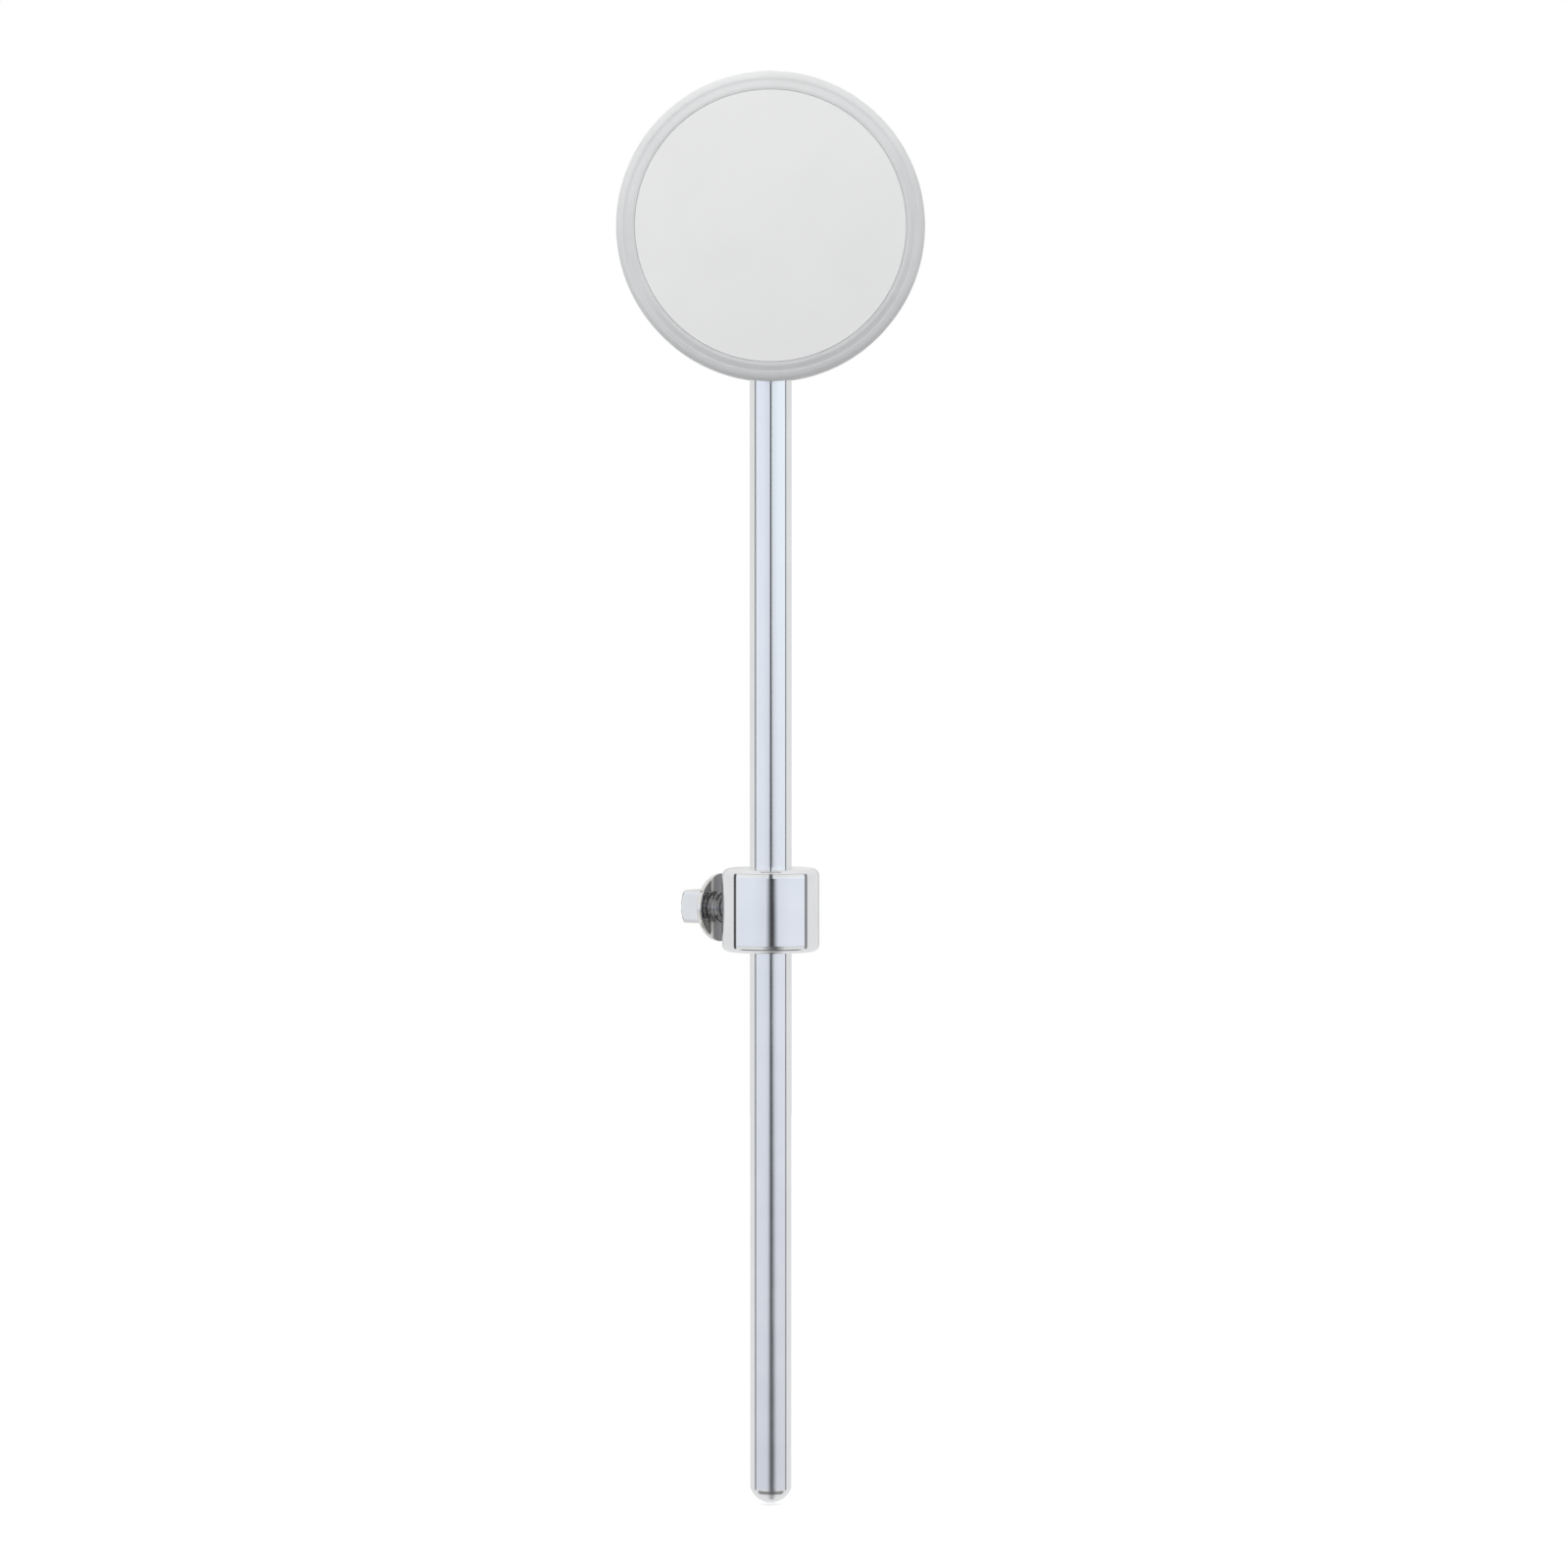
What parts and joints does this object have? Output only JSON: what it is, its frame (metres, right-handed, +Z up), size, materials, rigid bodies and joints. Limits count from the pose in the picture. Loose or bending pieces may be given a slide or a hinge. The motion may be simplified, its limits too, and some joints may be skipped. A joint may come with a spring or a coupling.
{
  "type": "bass drum pedal beater",
  "caption": "Chromed rod with a round two-sided striking head, white disc and felt, and a sliding stop collar locked by a square-drive key screw.",
  "frame": {"origin": "centre of the rod's lower, domed end, the end that goes into the pedal's hub", "axes": "+Z up along the rod to the head; -Y is the way the white striking face looks, +Y the way the felt face looks; +X makes the frame right-handed"},
  "size_m": [0.059, 0.0376, 0.2757],
  "materials": {
    "chrome": "bright plated steel, faint polishing lines",
    "white_face": "satin, fine moulded grain",
    "frosted_ring": "frosted, slightly translucent elastomer",
    "core_plastic": "moulded, natural white",
    "felt": "dense pressed wool felt",
    "zinc_steel": "zinc plated",
    "nylon": "moulded nylon"
  },
  "bodies": {
    "beater": {"beater_shaft": "chrome", "head_core": "core_plastic", "edge_ring": "frosted_ring", "strike_disc": "white_face", "pad_plate": "core_plastic", "felt_pad": "felt", "flat_washer": "zinc_steel", "lock_nut": "zinc_steel", "nut_insert": "nylon"},
    "collar": {"stop_collar": "chrome"},
    "screw": {"key_screw": "chrome"}
  },
  "joints": [
    {"name": "collar_slide", "type": "slide", "parent": "beater", "child": "collar", "axis": [0, 0, 1], "range_m": [-0.10395, 0.09325]},
    {"name": "key_screw_turn", "type": "hinge", "parent": "collar", "child": "screw", "pos_m": [0, 0, 0.1149], "axis": [-0.7431, 0.6691, 0], "range_deg": [0, 720]}
  ]
}
